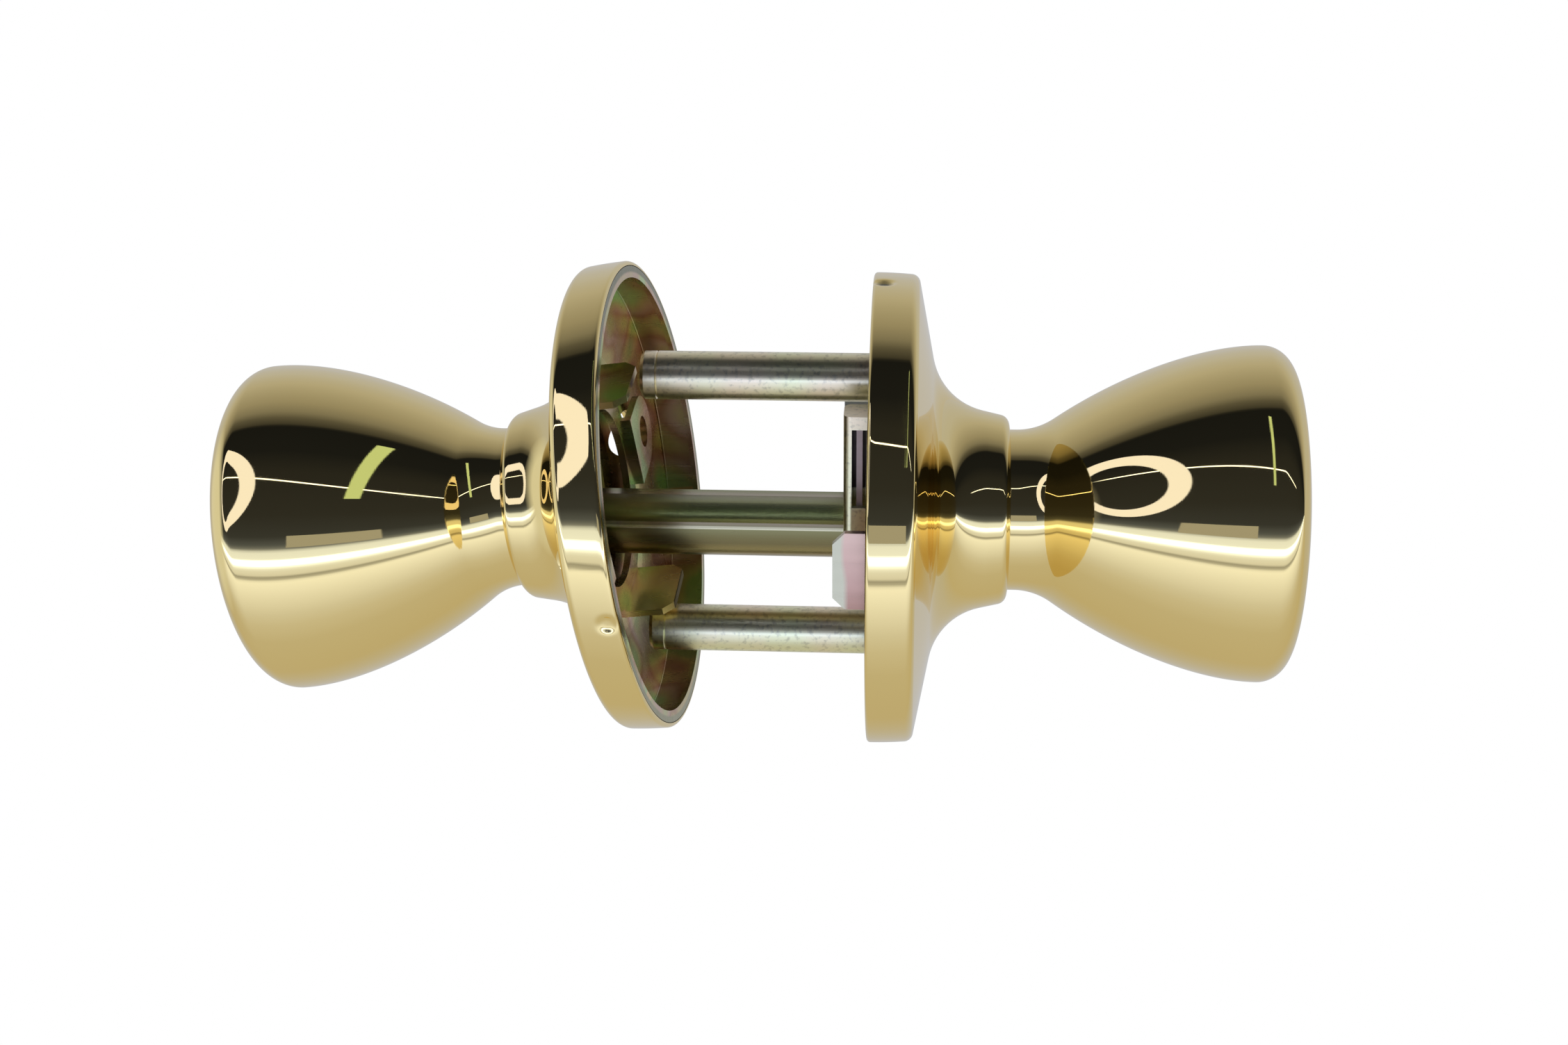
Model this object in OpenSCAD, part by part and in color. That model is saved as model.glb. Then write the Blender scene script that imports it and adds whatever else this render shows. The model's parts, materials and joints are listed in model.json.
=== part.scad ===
// Tubular door knob set, off the door: two tulip knobs on round roses, joined by a half-round
// spindle and two posts. Millimetres. +X runs along the knob axis towards the exterior knob,
// +Z is up, and the origin lies on the axis in the plane of the exterior rose's rim.
// The interior half hangs loose on the spindle: it droops and sways, and its rose is turned about the knob.

/* [Rose] */
// Diameter of the skirt
rose_d = 65; // [58:0.5:80]
// Height of the straight skirt
skirt_h = 6.1; // [5.6:0.1:9]
// Rise of the dome from the skirt to the root of the collar
dome_rise = 3.3; // [2:0.1:5]
// Diameter where the dome would meet the collar without its fillet
collar_root_d = 30; // [28.8:0.1:32]
// Diameter of the collar at its end
collar_d = 25.7; // [25.6:0.1:28]
// Height of the collar's end over the rim
rose_h = 18.8; // [18:0.1:22]
// Wall of the brass cover
rose_wall = 0.6; // [0.5:0.1:1]
// Radius of the skirt's outer corner
skirt_round = 1.3; // [1:0.1:2]
// Radius of the fillet between dome and collar
dome_fillet = 9; // [6:0.5:10]
// Radius of the collar's outer corner
collar_round = 1.4; // [1:0.1:1.8]
// Diameter of the two crimps punched in the skirt, in line with the posts
crimp_d = 2.4; // [1.5:0.1:3]
// Distance of the crimps from the rim
crimp_at = 1.5; // [1.3:0.1:3]

/* [Liner] */
// Wall of the plated dish inside the rose
liner_wall = 0.7; // [0.6:0.1:1]
// Width of the flat lip at the rim
liner_lip = 1.6; // [1:0.1:3]

/* [Knob] */
// Largest diameter of the knob
knob_d = 46.2; // [40:0.1:56]
// Distance of the knob's end from the rim of its rose
knob_len = 58.8; // [56:0.1:75]
// Diameter of the knob's neck
neck_d = 22.2; // [21.8:0.1:22.4]
// Straight neck between the collar's end and the start of the flare
neck_len = 3.8; // [2.6:0.1:5]
// Angle at which the flare leaves the neck
flare_angle = 34; // [25:1:38]
// Radius of the fillet between neck and flare
neck_fillet = 9; // [6:0.5:9]
// Length of the straight flare, from the neck's line
flare_len = 3.5; // [3:0.1:5]
// Radius of the shoulder round the end
shoulder_r = 3.8; // [3:0.1:9]
// Radius of the crowned end face
crown_r = 95; // [60:1:150]
// Wall of the brass shell
knob_wall = 1; // [0.6:0.1:1]

/* [Shank and bearing] */
// Outer diameter of the shank tube
shank_d = 19.8; // [19.4:0.1:19.9]
// Wall of the shank tube
shank_wall = 0.8; // [0.6:0.1:0.9]
// Distance of the shank's far end from the rim
shank_far = 36; // [34:0.5:40]
// Outer diameter of the bush
bush_d = 22.6; // [22.3:0.1:22.8]
// Outer diameter of the bush's flange
bush_flange_d = 24; // [23.4:0.1:24.2]
// Thickness of the bush's flange
bush_flange = 0.9; // [0.6:0.1:1.2]
// Length of the bush, flange included
bush_len = 4.8; // [4:0.1:5]
// Outer diameter of the retaining ring
ring_d = 23.2; // [22:0.1:24]
// Thickness of the retaining ring
ring_wall = 1; // [0.6:0.1:1.2]
// Width of the gap in the retaining ring
ring_gap = 7; // [4:0.5:10]

/* [Spindle] */
// Outer diameter of the half-round spindle
spindle_d = 14; // [12:0.1:14.2]
// Wall of the spindle
spindle_wall = 2; // [1.2:0.1:2.5]
// Depth of the spindle's open edges below the axis
spindle_edge = 0.6; // [0.5:0.1:2]
// Reach of the spindle from the exterior rim towards the interior knob
spindle_reach = 56; // [54:0.5:56]
// Reach of the spindle from the exterior rim into the exterior knob
spindle_root = 31; // [30:0.5:33]
// Thickness of the plates that carry the spindle in the shanks
drive_wall = 2; // [1:0.1:2.5]
// Distance of the exterior one from its rim
exterior_drive_at = 24; // [23.5:0.1:24.5]
// Diameter of the cross pin through shank and spindle
pin_d = 2; // [1.5:0.1:2.4]

/* [Posts] */
// Diameter of a post
post_d = 6.6; // [5:0.1:7]
// Length of a post beyond the exterior rim
post_len = 31.4; // [28:0.1:31.4]
// Distance between the two posts
post_spacing = 38.1; // [37.4:0.1:39]
// Diameter of the tapped hole
thread_d = 3.4; // [2.5:0.1:4]
// Depth of the tapped hole
thread_depth = 14; // [8:0.5:20]
// Diameter of the riveted tenon through the cage
tenon_d = 4.4; // [3:0.1:5]

/* [Cage] */
// Sheet thickness of the cage
cage_wall = 1; // [0.8:0.1:1]
// Depth of the cage's pads below the rim
cage_depth = 4.6; // [4.5:0.1:4.7]
// Outer diameter of the cage's ring
cage_ring_d = 32; // [30:0.5:34]
// Diameter of the opening in the exterior cage
exterior_cage_hole_d = 22; // [20:0.5:24]
// Diameter of the opening in the interior cage
interior_cage_hole_d = 25; // [23:0.5:26]
// Diameter of the round pads at the posts and the screw holes
pad_d = 10.6; // [9:0.1:10.8]
// Width of the exterior tabs
exterior_tab_w = 10.8; // [7:0.1:11]
// Distance of the exterior tabs from the axis
exterior_tab_at = 20.5; // [18:0.1:21]
// Reach of the exterior tabs beyond the rim
exterior_tab_reach = 4.5; // [3:0.1:6]
// Drop of the near exterior tab's middle below the axis
near_tab_drop = 0.4; // [0:0.1:1]
// Height of the far exterior tab's middle above the axis
far_tab_lift = 5; // [0:0.1:6]
// Width of the interior tabs
interior_tab_w = 11.6; // [9:0.1:12]
// Distance of the lower interior tab from the axis
lower_tab_at = 15.8; // [15.5:0.1:15.8]
// Distance of the upper interior tab from the axis
upper_tab_at = 17.4; // [16:0.1:17.6]
// Reach of the lower interior tab beyond the rim
lower_tab_reach = 0.5; // [0:0.1:1]
// Reach of the upper interior tab beyond the rim
upper_tab_reach = 0; // [0:0.1:0.5]
// Bevel on the corners of a tab
tab_bevel = 1.6; // [1:0.1:3]
// Diameter of the screw holes through the interior rose
screw_hole_d = 6.8; // [4.5:0.1:7]
// Diameter of the screw holes in the interior cage
boss_hole_d = 4.6; // [4:0.1:5]
// Width of the four legs of the exterior cage, which stand on the dish
cage_leg_w = 7; // [5:0.1:8]

/* [Return spring] */
// Wire of the return spring
wire_d = 1; // [0.8:0.1:1.2]
// Mean diameter of the coil
coil_d = 22.8; // [22.4:0.1:23]
// Turns of the coil
coil_turns = 1.5; // [1:0.25:1.5]
// Length of the straight legs
spring_leg_len = 6; // [5:0.1:6.5]
// Outer diameter of the cam plate on the exterior shank
cam_d = 25; // [23:0.1:26]
// Thickness of the cam plate
cam_wall = 1.2; // [0.8:0.1:1.3]
// Width of the lugs that the spring's legs push on
lug_w = 3; // [2:0.1:4]

/* [Spring housing] */
// Width of the housing across the axis
housing_w = 5; // [4:0.1:5.5]
// Distance of the housing's inner wall from the axis
housing_at = 8.4; // [8:0.1:9]
// Height of the housing's foot below the axis
housing_low = 1; // [0:0.1:2]
// Height of the housing's top above the axis
housing_top = 18.2; // [15:0.1:19]
// Reach of the housing beyond the rim
housing_reach = 3.4; // [2:0.1:4]
// Sheet thickness of the housing
housing_wall = 0.9; // [0.6:0.1:1.1]
// Radius of the housing's folds
housing_fold = 1.1; // [1.1:0.1:2]
// Height of the solid cheek under the housing's window
housing_cheek = 6.4; // [5:0.1:7]
// Thickness of the leaf in the housing
leaf_wall = 0.8; // [0.4:0.1:1]
// Reach of the leaf's middle beyond the rim
leaf_reach = 1.3; // [0.5:0.1:1.5]
// Width of the leaf
leaf_w = 2.6; // [2:0.1:2.8]

/* [Interior half] */
// Distance between the two rims when the interior half sits square, the thickness of the door
door_gap = 35; // [34:0.1:36]
// Distance between the centres of the two rims as the interior half hangs
rest_gap = 30.1; // [30:0.1:31]
// Height of the hanging rim's centre above the exterior axis
rest_lift = 1.65; // [1.5:0.05:1.8]
// Angle at which the interior half droops
droop = 7.6; // [7.4:0.1:7.8]
// Angle at which its knob sways to the back
sway = 2.7; // [2.3:0.1:3]
// Turn of the interior rose away from the posts
rose_turn = 82; // [60:1:90]

/* [Fits] */
// Radial clearance of a running fit
running = 0.05; // [0.03:0.01:0.08]
// Clearance between pieces that are fixed to each other
seat = 0.02; // [0.01:0.01:0.03]
// Clearance between the brass cover and the dish inside it
nest = 0.1; // [0.05:0.01:0.15]
// Clearance between moving pieces that never bear on each other
loose = 0.3; // [0.2:0.05:0.3]
// Clearance of the spindle in the interior drive plate
drive_play = 0.45; // [0.35:0.05:0.6]

/* [Hidden] */
$fn = 96;

brass = "goldenrod";
yellow_zinc = "darkkhaki";
bright_zinc = "silver";
bronze = "peru";
spring_steel = "dimgray";

// Steps along a corner's arc and along the knob's long curves
arc_steps = 10;
curve_steps = 24;

rose_r = rose_d / 2;
neck_r = neck_d / 2;
knob_r = knob_d / 2;
shank_r = shank_d / 2;
shank_bore_r = shank_r - shank_wall;
spindle_r = spindle_d / 2;
post_z = post_spacing / 2;

// The rose's hole clears the neck that turns in it
collar_hole_r = neck_r + loose;
// The dish's neck ends just under the collar's end wall
liner_end = rose_h - rose_wall - nest;
// The bush ends short of the knob's neck, which starts inside the collar
neck_start = rose_h - rose_wall - loose;
bush_end = neck_start - loose;
bush_start = bush_end - bush_len;
bush_seat = bush_start + bush_flange + loose / 2;
ring_end = bush_start - loose / 2;
ring_start = ring_end - ring_wall;
interior_shank_start = ring_start - loose;
cage_back = cage_depth + cage_wall;
// The cam turns just behind the cage, on the end of the exterior shank
cam_start = cage_back + loose;
cam_end = cam_start + cam_wall;
// The coil lies between the cam and the retaining ring
coil_first = cam_end + loose + wire_d / 2;
coil_last = ring_start - loose - wire_d / 2;
coil_pitch = (coil_last - coil_first) / coil_turns;
coil_r = coil_d / 2;
spring_leg_tip_r = sqrt(coil_r * coil_r + spring_leg_len * spring_leg_len);
spring_leg_tip_angle = atan(spring_leg_len / coil_r);
lug_angle = spring_leg_tip_angle + asin((lug_w / 2 + loose) / spring_leg_tip_r);
lug_inner_r = coil_r + wire_d / 2 + loose;
lug_outer_r = spring_leg_tip_r + wire_d / 2;
// Sides of the swept wire, and its rings in a turn
wire_sides = 6;
turn_rings = 8;

// The hanging half comes square on the door by one turn about a slanted line in this direction.
// Its rim's centre can't move along that line, which sets how far to the side it hangs.
seat_axis = [-sin(sway) * sin(droop), sin(droop) * (1 + cos(sway)), sin(sway) * (1 + cos(droop))];
rest_shift = ((rest_gap - door_gap) * seat_axis[0] - rest_lift * seat_axis[2]) / seat_axis[1];
// The interior drive plate sits in its shank where the hanging axis crosses the spindle's
interior_drive_at = max(rest_lift / sin(droop), interior_shank_start + drive_wall / 2);

// Outlines. A point is [distance from the axis, distance from the rim].

function unit(v) = v / norm(v);
function inward(a, b) = unit([a[1] - b[1], b[0] - a[0]]);

// One point moved inwards from both of its sides by the same distance
function mitre(before, point, after, depth) =
    let (n = inward(before, point), m = inward(point, after))
    point + depth * (n + m) / (1 + n * m);

// An outline moved inwards
function inset(points, depth) =
    let (last = len(points) - 1)
    [for (i = [0:last])
        i == 0 ? points[0] + depth * inward(points[0], points[1])
        : i == last ? points[last] + depth * inward(points[last - 1], points[last])
        : mitre(points[i - 1], points[i], points[i + 1], depth)];

// The arc that rounds the corner b between a and c
function corner_arc(a, b, c, radius) =
    let (
        u = unit(a - b),
        w = unit(c - b),
        half = acos(u * w) / 2,
        start = b + u * radius / tan(half),
        finish = b + w * radius / tan(half),
        centre = b + unit(u + w) * radius / sin(half)
    )
    [for (i = [0:arc_steps])
        centre + radius * unit((start - centre) * (1 - i / arc_steps) + (finish - centre) * i / arc_steps)];

function rounded(points, radii) =
    [for (i = [0:len(points) - 1])
        each (radii[i] == 0 ? [points[i]]
            : corner_arc(points[i - 1], points[i], points[i + 1], radii[i]))];

function reversed(points) = [for (i = [len(points) - 1:-1:0]) points[i]];

// The rose's outer surface, or a surface at some depth under it, from the rim to the collar's hole
rose_corners = [
    [rose_r, 0],
    [rose_r, skirt_h],
    [collar_root_d / 2, skirt_h + dome_rise],
    [collar_d / 2, rose_h],
    [collar_hole_r, rose_h]
];
// No corner of a surface under the rose gets sharper than this
least_round = 0.2;
function rose_surface(depth) = rounded(
    inset(rose_corners, depth),
    [0, max(skirt_round - depth, least_round), dome_fillet + depth, max(collar_round - depth, least_round), 0]
);
// Distance from the rim of the dome, at some depth under it, where the dome is straight
dome_slope = dome_rise / (rose_r - collar_root_d / 2);
function dome_at(r, depth) = skirt_h + (rose_r - r) * dome_slope - depth * sqrt(1 + dome_slope * dome_slope);
liner_depth = rose_wall + nest;
liner_back = liner_depth + liner_wall;
// Distance from the rim of the dish's floor
function floor_at(r) = lookup(r, rose_surface(liner_back));
// The exterior cage's legs keep their outer corners just inside its ring
cage_leg_r = cage_ring_d / 2 - loose;
cage_leg_at = sqrt(cage_leg_r * cage_leg_r - cage_leg_w * cage_leg_w / 4);
// The interior cage's ring lies on the dish with the corners of its upper tab
interior_cage_back = floor_at(norm([upper_tab_at + cage_wall / 2, interior_tab_w / 2])) - seat;
// Its pads are bent up just outside its opening
pad_bend_at = interior_cage_hole_d / 2 + loose;

// The knob's outer surface, from its neck to the middle of its end
flare_root = [neck_r, rose_h + neck_len];
flare_point = flare_root + flare_len * [sin(flare_angle), cos(flare_angle)];
crown_at = knob_len - crown_r;
shoulder_at = crown_at + sqrt(pow(crown_r - shoulder_r, 2) - pow(knob_r - shoulder_r, 2));
crown_edge = atan((knob_r - shoulder_r) / (shoulder_at - crown_at));
bulge = [knob_r, shoulder_at];
// Where the flare's line would meet the widest diameter, and how much of the way there the handles reach
flare_aim = flare_point + (knob_r - flare_point[0]) * [1, 1 / tan(flare_angle)];
handle = 0.61;
flare_handle = flare_point + handle * (flare_aim - flare_point);
bulge_handle = bulge + handle * (flare_aim - bulge);
function body_curve(t) =
    pow(1 - t, 3) * flare_point + 3 * pow(1 - t, 2) * t * flare_handle
    + 3 * (1 - t) * t * t * bulge_handle + t * t * t * bulge;
knob_surface = concat(
    rounded([[neck_r, neck_start], flare_root, flare_point], [0, neck_fillet, 0]),
    [for (i = [1:curve_steps]) body_curve(i / curve_steps)],
    [for (i = [1:arc_steps])
        let (a = 90 - (90 - crown_edge) * i / arc_steps)
        [knob_r - shoulder_r + shoulder_r * sin(a), shoulder_at + shoulder_r * cos(a)]],
    [for (i = [1:arc_steps])
        let (a = crown_edge * (1 - i / arc_steps))
        [crown_r * sin(a), crown_at + crown_r * cos(a)]]
);
knob_inside = [for (p = inset(knob_surface, knob_wall)) [max(p[0], 0), p[1]]];

// Solids of revolution about X, from an outline in the rim's coordinates
module lathe() {
    rotate([0, 90, 0]) rotate_extrude() children();
}

module rod(from, to, d) {
    translate([from, 0, 0]) rotate([0, 90, 0]) cylinder(d = d, h = to - from);
}

module tube(from, to, inner_r, outer_r) {
    lathe() translate([inner_r, from]) square([outer_r - inner_r, to - from]);
}

// A plate across the axis, drawn in Y and Z
module plate(from, wall) {
    translate([from, 0, 0]) rotate([90, 0, 90]) linear_extrude(wall) children();
}

// A half-round bar under the axis, the shape of the spindle and of the holes that take it
module half_round(from, to, r, edge) {
    intersection() {
        rod(from, to, 2 * r);
        translate([from, -r, -r]) cube([to - from, 2 * r, r - edge]);
    }
}

// Pieces of a half, on its own axis: X runs from the rim towards the knob

module rose(screw_holes) {
    difference() {
        lathe() polygon(concat(rose_surface(0), reversed(rose_surface(rose_wall))));
        if (screw_holes) post_places() rod(0, rose_h, screw_hole_d);
        for (side = [0, 180]) rotate([side, 0, 0])
            translate([crimp_at, 0, rose_r - rose_wall - nest / 2]) cylinder(d = crimp_d, h = 2 * rose_wall);
    }
}

module post_places() {
    for (side = [-1, 1]) translate([0, 0, side * post_z]) children();
}

// The room inside the dish, or inside a surface at some depth under the rose
module dish_room(depth) {
    lathe() polygon(concat(rose_surface(depth), [[0, rose_h - depth], [0, 0]]));
}

module liner(hole_d, with_lug) {
    lip_r = rose_r - liner_depth;
    // The bush's seat ends under the round of the dish's end
    seat_end = liner_end - max(collar_round - liner_depth, least_round);
    difference() {
        lathe() difference() {
            union() {
                polygon(concat(rose_surface(liner_depth), reversed(rose_surface(liner_back))));
                translate([lip_r - liner_lip, 0]) square([liner_lip, liner_wall]);
                translate([bush_d / 2 + running, bush_seat])
                    square([collar_d / 2 - liner_depth - bush_d / 2 - running, seat_end - bush_seat]);
            }
            square([bush_d / 2 + running, rose_h]);
        }
        post_places() rod(0, rose_h, hole_d);
    }
    if (with_lug) intersection() {
        translate([coil_last - wire_d / 2, 0, 0])
            rotate([-360 * coil_turns - lug_angle, 0, 0]) spring_lug(wire_d, rose_r);
        dish_room(liner_depth);
    }
}

// A block for a leg of the spring to push on
module spring_lug(length, outer_r) {
    translate([0, -lug_w / 2, lug_inner_r]) cube([length, lug_w, outer_r - lug_inner_r]);
}

// Outline of the two round pads, with a strip from each towards the axis
module pad_outline(strip_start) {
    for (side = [0, 180]) rotate(side) {
        translate([0, post_z]) circle(d = pad_d);
        translate([-pad_d / 2, strip_start]) square([pad_d, post_z - strip_start]);
    }
}

// Outline of the strip from the axis to a tab, on the side of +Y or -Y
module wing_outline(side, at, width, lift) {
    length = at + cage_wall / 2;
    translate([side * length / 2, lift]) square([length, width], center = true);
}

// A tab bent towards the door, from a depth below the rim
module tab(side, at, width, lift, depth, reach) {
    translate([0, side * at + cage_wall / 2, lift]) rotate([90, 0, 0]) linear_extrude(cage_wall) polygon([
        [depth, -width / 2], [depth, width / 2],
        [tab_bevel - reach, width / 2], [-reach, width / 2 - tab_bevel],
        [-reach, tab_bevel - width / 2], [tab_bevel - reach, -width / 2]
    ]);
}

module bush() {
    tube(bush_start, bush_end, shank_r + running, bush_d / 2);
    tube(bush_start, bush_start + bush_flange, shank_r + running, bush_flange_d / 2);
}

module retaining_ring() {
    difference() {
        tube(ring_start, ring_end, shank_r + seat, ring_d / 2);
        translate([ring_start, -ring_gap / 2, 0]) cube([ring_wall, ring_gap, ring_d]);
    }
}

module shank(start) {
    tube(start, shank_far, shank_bore_r, shank_r);
}

module knob_shell() {
    lathe() polygon(concat(knob_surface, reversed(knob_inside)));
}

// Ring that fills the shell's flare and seats it on the shank
module knob_core() {
    core_start = flare_root[1];
    lathe() intersection() {
        polygon(concat([[shank_r + seat, neck_start], [shank_r + seat, knob_len]],
            reversed(inset(knob_surface, knob_wall + seat))));
        translate([0, core_start]) square([knob_r, shank_far - core_start - loose]);
    }
}

module drive_plate(at, play) {
    difference() {
        rod(at - drive_wall / 2, at + drive_wall / 2, 2 * (shank_bore_r - seat));
        half_round(0, knob_len, spindle_r + play, spindle_edge - play);
    }
}

module post() {
    groove_at = 2.2;
    groove_depth = 0.15;
    chamfer = 0.5;
    difference() {
        union() {
            lathe() polygon([
                [0, -post_len], [post_d / 2 - chamfer, -post_len], [post_d / 2, chamfer - post_len],
                [post_d / 2, groove_at - post_len - groove_depth],
                [post_d / 2 - groove_depth, groove_at - post_len],
                [post_d / 2, groove_at - post_len + groove_depth],
                [post_d / 2, cage_depth - seat], [0, cage_depth - seat]
            ]);
            rod(0, dome_at(post_z + tenon_d / 2, liner_depth) - seat, tenon_d);
            rod(cage_back + seat, dome_at(post_z + post_d / 2, liner_back) - seat, post_d);
        }
        rod(-post_len, thread_depth - post_len, thread_d);
    }
}

// Where the interior half hangs: facing the exterior half, swayed, drooped and set off
module interior_axis() {
    translate([-rest_gap, rest_shift, rest_lift])
        rotate([0, -droop, 0]) rotate([0, 0, -sway])
        rotate([0, 0, 180]) children();
}

// The turned rose and what is fixed to it
module interior_rose_axis() {
    interior_axis() rotate([rose_turn, 0, 0]) children();
}

// The exterior half

module exterior_rose() {
    color(brass) rose(false);
}

module exterior_liner() {
    color(yellow_zinc) liner(tenon_d + 2 * seat, true);
}

// Stamped plate: a ring, a pad at each post, four legs that stand on the dish and two bent tabs
module exterior_cage() {
    leg_len = floor_at(cage_leg_r) - seat - cage_depth;
    lifts = [-near_tab_drop, far_tab_lift];
    color(yellow_zinc) {
        difference() {
            plate(cage_depth, cage_wall) {
                circle(d = cage_ring_d);
                pad_outline(0);
                for (i = [0, 1]) wing_outline(2 * i - 1, exterior_tab_at, exterior_tab_w, lifts[i]);
            }
            rod(0, rose_h, exterior_cage_hole_d);
            post_places() rod(0, rose_h, tenon_d + 2 * seat);
        }
        for (a = [45:90:315]) rotate([a, 0, 0])
            translate([cage_depth, -cage_leg_w / 2, cage_leg_at - cage_wall])
            cube([leg_len, cage_leg_w, cage_wall]);
        for (i = [0, 1])
            tab(2 * i - 1, exterior_tab_at, exterior_tab_w, lifts[i], cage_depth, exterior_tab_reach);
    }
}

module exterior_bush() {
    color(bronze) bush();
}

module exterior_knob() {
    color(brass) knob_shell();
}

module exterior_knob_core() {
    color(bright_zinc) knob_core();
}

module exterior_shank() {
    color(bright_zinc) difference() {
        shank(cam_end);
        pin_place() cylinder(d = pin_d + 2 * seat, h = shank_d, center = true);
    }
}

module exterior_retaining_ring() {
    color(spring_steel) retaining_ring();
}

module exterior_drive_plate() {
    color(yellow_zinc) drive_plate(exterior_drive_at, seat);
}

module spindle() {
    color(yellow_zinc) difference() {
        half_round(-spindle_reach, spindle_root, spindle_r, spindle_edge);
        rod(-spindle_reach, spindle_root, spindle_d - 2 * spindle_wall);
        pin_place() cylinder(d = pin_d + 2 * seat, h = shank_d, center = true);
    }
}

// The cross pin runs through the shank and both walls of the spindle, beyond the drive plate
module pin_place() {
    pin_at = exterior_drive_at + drive_wall / 2 + pin_d + loose;
    translate([pin_at, 0, -spindle_edge - pin_d]) rotate([90, 0, 0]) children();
}

module spindle_pin() {
    pin_low = spindle_edge + pin_d + pin_d / 2;
    pin_len = 2 * (sqrt(shank_r * shank_r - pin_low * pin_low) - seat);
    color(bright_zinc) pin_place() cylinder(d = pin_d, h = pin_len, center = true);
}

module cam_plate() {
    color(yellow_zinc) difference() {
        union() {
            rod(cam_start, cam_end, cam_d);
            rotate([lug_angle, 0, 0]) spring_lug_on_cam();
        }
        half_round(0, knob_len, spindle_r + seat, spindle_edge - seat);
    }
}

module spring_lug_on_cam() {
    translate([cam_start, 0, 0]) spring_lug(coil_first + wire_d / 2 - cam_start, lug_outer_r);
    translate([cam_start, -lug_w / 2, 0]) cube([cam_wall, lug_w, lug_outer_r]);
}

// Path of the spring's wire: a leg, the coil, and a leg
function coil_point(turn) = [
    coil_first + coil_pitch * turn,
    coil_r * sin(360 * turn),
    coil_r * cos(360 * turn)
];
function coil_tangent(turn) = [0, cos(360 * turn), -sin(360 * turn)];
spring_path = concat(
    [coil_point(0) - spring_leg_len * coil_tangent(0)],
    [for (i = [0:coil_turns * turn_rings]) coil_point(i / turn_rings)],
    [coil_point(coil_turns) + spring_leg_len * coil_tangent(coil_turns)]
);

// Rings of points round a path, and the triangles between them
function path_direction(path, i) =
    unit(path[min(i + 1, len(path) - 1)] - path[max(i - 1, 0)]);
function path_ring(path, i, d, sides) =
    let (
        along = path_direction(path, i),
        across = unit(cross(along, [1, 0, 0])),
        third = cross(along, across)
    )
    [for (k = [0:sides - 1])
        path[i] + d / 2 * (cos(360 * k / sides) * across + sin(360 * k / sides) * third)];

module swept_wire(path, d, sides) {
    last = len(path) - 1;
    points = [for (i = [0:last]) each path_ring(path, i, d, sides)];
    walls = [for (i = [0:last - 1], k = [0:sides - 1])
        let (a = i * sides + k, b = i * sides + (k + 1) % sides)
        each [[a, b, b + sides], [a, b + sides, a + sides]]];
    ends = [for (k = [1:sides - 2])
        each [[0, k + 1, k], [last * sides, last * sides + k, last * sides + k + 1]]];
    polyhedron(points = points, faces = concat(walls, ends));
}

// Least gap of the wire to itself, between points more than half a turn apart
wire_gap = min([for (i = [0:len(spring_path) - 1], j = [0:len(spring_path) - 1])
    if (j - i > turn_rings / 2) norm(spring_path[j] - spring_path[i])]) - wire_d;

module return_spring() {
    echo(return_spring_least_gap = wire_gap);
    color(spring_steel) swept_wire(spring_path, wire_d, wire_sides);
}

// Folded channel on the cage, with a roof and a window in its near cheek
module spring_housing() {
    depth = housing_reach + cage_depth - seat;
    height = housing_low + housing_top;
    window_top = height - 2 * housing_wall;
    fold = [[depth, 0], [0, 0], [0, housing_w], [depth, housing_w]];
    color(bright_zinc) translate([-housing_reach, -housing_at - housing_w, -housing_low]) difference() {
        linear_extrude(height) polygon(rounded(fold, [0, housing_fold, housing_fold, 0]));
        translate([housing_wall, housing_wall, -housing_wall])
            cube([depth, housing_w - 2 * housing_wall, height]);
        translate([housing_fold, -housing_wall, housing_cheek])
            cube([depth - housing_fold - housing_wall, 3 * housing_wall, window_top - housing_cheek]);
    }
}

// Leaf that stands in the housing behind the window
module housing_leaf() {
    left = -leaf_reach - leaf_wall / 2;
    near = housing_wall + seat - housing_at - housing_w;
    height = housing_low + housing_top - housing_wall - 2 * seat;
    color(spring_steel) translate([left, near, seat - housing_low]) cube([leaf_wall, leaf_w, height]);
}

module upper_post() {
    color(bright_zinc) translate([0, 0, post_z]) post();
}

module lower_post() {
    color(bright_zinc) translate([0, 0, -post_z]) rotate([180, 0, 0]) post();
}

// The interior half

module interior_rose() {
    color(brass) interior_rose_axis() rose(true);
}

module interior_liner() {
    color(yellow_zinc) interior_rose_axis() liner(screw_hole_d, false);
}

// Stamped plate: a ring that lies on the dish, a pad bent up at each screw hole and two bent tabs
module interior_cage() {
    distances = [lower_tab_at, upper_tab_at];
    reaches = [lower_tab_reach, upper_tab_reach];
    color(yellow_zinc) interior_rose_axis() {
        difference() {
            union() {
                plate(interior_cage_back - cage_wall, cage_wall) {
                    circle(d = cage_ring_d);
                    for (i = [0, 1]) wing_outline(2 * i - 1, distances[i], interior_tab_w, 0);
                }
                plate(cage_depth, cage_wall) pad_outline(pad_bend_at);
                for (side = [0, 180]) rotate([side, 0, 0]) translate([cage_depth, -pad_d / 2, pad_bend_at])
                    cube([interior_cage_back - cage_depth, pad_d, cage_wall]);
            }
            rod(0, rose_h, interior_cage_hole_d);
            post_places() rod(0, rose_h, boss_hole_d);
        }
        for (i = [0, 1]) tab(2 * i - 1, distances[i], interior_tab_w, 0, interior_cage_back, reaches[i]);
    }
}

module interior_bush() {
    color(bronze) interior_axis() bush();
}

module interior_knob() {
    color(brass) interior_axis() knob_shell();
}

module interior_knob_core() {
    color(bright_zinc) interior_axis() knob_core();
}

module interior_shank() {
    color(bright_zinc) interior_axis() shank(interior_shank_start);
}

module interior_retaining_ring() {
    color(spring_steel) interior_axis() retaining_ring();
}

module interior_drive_plate() {
    color(yellow_zinc) interior_axis() drive_plate(interior_drive_at, drive_play);
}

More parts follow.
